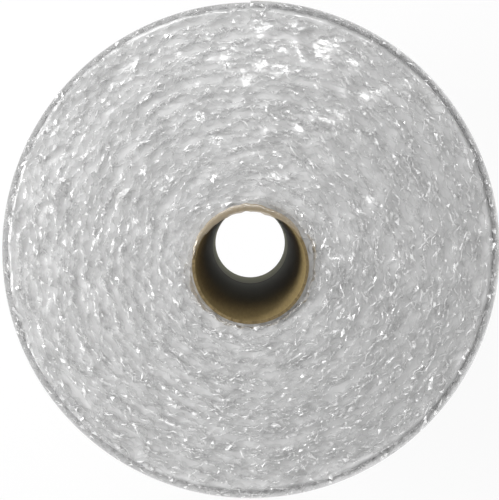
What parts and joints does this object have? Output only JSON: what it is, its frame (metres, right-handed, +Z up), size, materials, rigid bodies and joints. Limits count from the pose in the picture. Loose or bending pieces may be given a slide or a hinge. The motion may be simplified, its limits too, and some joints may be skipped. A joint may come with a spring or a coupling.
{
  "type": "bubble wrap roll",
  "caption": "Roll of clear bubble cushioning film wound on an open card core, standing on one end, for wrapping goods.",
  "frame": {"origin": "on the core's axis, in the plane of the lower end that the roll stands on", "axes": "+Z up along the core's axis; +Y towards the side where the wound film is thickest and its free end lies"},
  "size_m": [0.3406, 0.3414, 0.305],
  "materials": {
    "card": "plain brown spiral-wound card",
    "film": "clear glossy film, hazy in the mass"
  },
  "bodies": {
    "root": {"core_tube": "card", "bubble_film": "film"}
  },
  "joints": []
}
